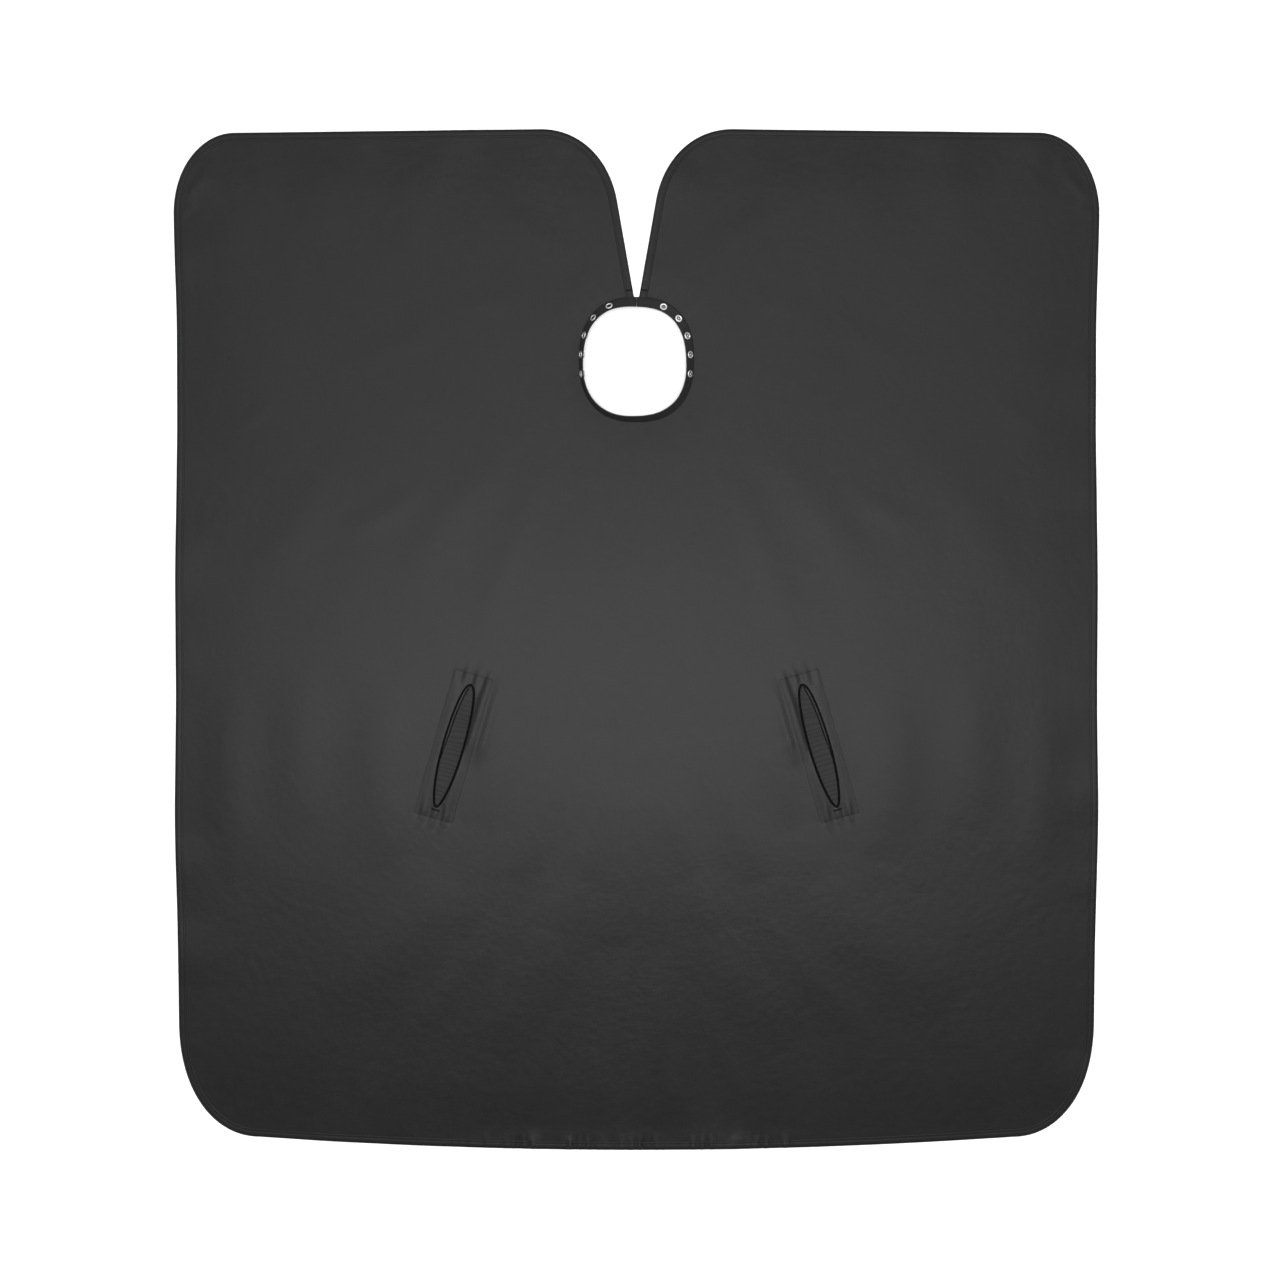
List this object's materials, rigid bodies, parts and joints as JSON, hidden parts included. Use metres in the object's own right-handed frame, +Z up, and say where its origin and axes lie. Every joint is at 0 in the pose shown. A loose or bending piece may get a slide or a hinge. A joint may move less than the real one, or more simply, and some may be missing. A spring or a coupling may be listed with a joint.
{
  "type": "barber cape",
  "caption": "Flat cloth barber cape with a bound edge, a snap-fastened leaning neckband, an open back slit and two piped hand slits with guards.",
  "frame": {"origin": "under the middle of the outline, on the surface that the cape lies on", "axes": "+X across the cape to the stud side, +Y towards the open back of the neck, +Z up out of the cloth's outer face"},
  "size_m": [1.27, 1.4, 0.0167],
  "materials": {
    "cape_cloth": "satin",
    "guard_cloth": "satin",
    "edge_binding": "satin",
    "neckband_cloth": "satin",
    "interlining": "matte",
    "slit_piping": "satin",
    "thread": "satin",
    "snap_metal": "polished",
    "snap_spring": "satin"
  },
  "bodies": {
    "front": {"front_panel": "cape_cloth", "front_edge_binding": "edge_binding", "front_neckband_cover": "neckband_cloth", "front_neckband_interlining": "interlining", "left_slit_piping": "slit_piping", "right_slit_piping": "slit_piping", "left_hand_guard": "guard_cloth", "right_hand_guard": "guard_cloth", "left_slit_bar_tack": "thread", "right_slit_bar_tack": "thread"},
    "left_back": {"left_back_panel": "cape_cloth", "left_back_edge_binding": "edge_binding", "left_neckband_cover": "neckband_cloth", "left_neckband_interlining": "interlining", "left_neck_bar_tack": "thread", "left_prong_ring_1": "snap_metal", "left_prong_ring_2": "snap_metal", "left_prong_ring_3": "snap_metal", "left_prong_ring_4": "snap_metal", "left_prong_ring_5": "snap_metal", "left_snap_socket_1": "snap_metal", "left_snap_socket_2": "snap_metal", "left_snap_socket_3": "snap_metal", "left_snap_socket_4": "snap_metal", "left_snap_socket_5": "snap_metal", "left_snap_spring_1": "snap_spring", "left_snap_spring_2": "snap_spring", "left_snap_spring_3": "snap_spring", "left_snap_spring_4": "snap_spring", "left_snap_spring_5": "snap_spring"},
    "right_back": {"right_back_panel": "cape_cloth", "right_back_edge_binding": "edge_binding", "right_neckband_cover": "neckband_cloth", "right_neckband_interlining": "interlining", "right_neck_bar_tack": "thread", "right_snap_stud_1": "snap_metal", "right_snap_stud_2": "snap_metal", "right_snap_stud_3": "snap_metal", "right_snap_stud_4": "snap_metal", "right_snap_stud_5": "snap_metal", "right_prong_ring_1": "snap_metal", "right_prong_ring_2": "snap_metal", "right_prong_ring_3": "snap_metal", "right_prong_ring_4": "snap_metal", "right_prong_ring_5": "snap_metal"}
  },
  "joints": [
    {"name": "left_back_fold", "type": "hinge", "parent": "front", "child": "left_back", "pos_m": [0, 0.339, 0.0009], "axis": [1, 0, 0], "range_deg": [0, 90]},
    {"name": "right_back_fold", "type": "hinge", "parent": "front", "child": "right_back", "pos_m": [0, 0.339, 0.0009], "axis": [1, 0, 0], "range_deg": [0, 90]}
  ]
}
